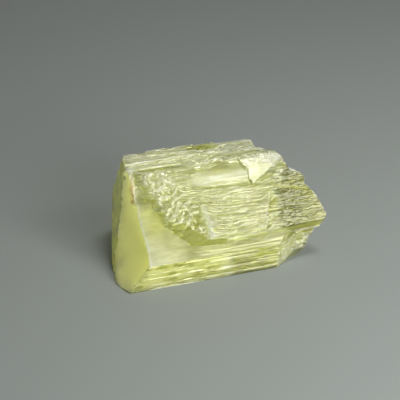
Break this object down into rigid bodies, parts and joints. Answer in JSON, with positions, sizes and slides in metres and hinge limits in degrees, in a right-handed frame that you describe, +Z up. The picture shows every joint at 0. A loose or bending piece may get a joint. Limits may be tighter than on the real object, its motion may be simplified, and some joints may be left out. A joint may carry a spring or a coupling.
{
  "type": "hiddenite crystal",
  "caption": "Clear yellow-green striated prism crystal lying on its side, one end a smooth slanted facet and the other broken and splintery, for display",
  "frame": {"origin": "middle of the bounding box, on the underside that the crystal rests on", "axes": "+X along the crystal's long axis from the smooth end to the broken end, +Y from the sloping main face to the rear, +Z up"},
  "size_m": [0.0333, 0.0161, 0.016],
  "materials": {
    "hiddenite": "clear to cloudy, striated, glassy on smooth faces"
  },
  "bodies": {
    "root": {"hiddenite_crystal": "hiddenite"}
  },
  "joints": []
}
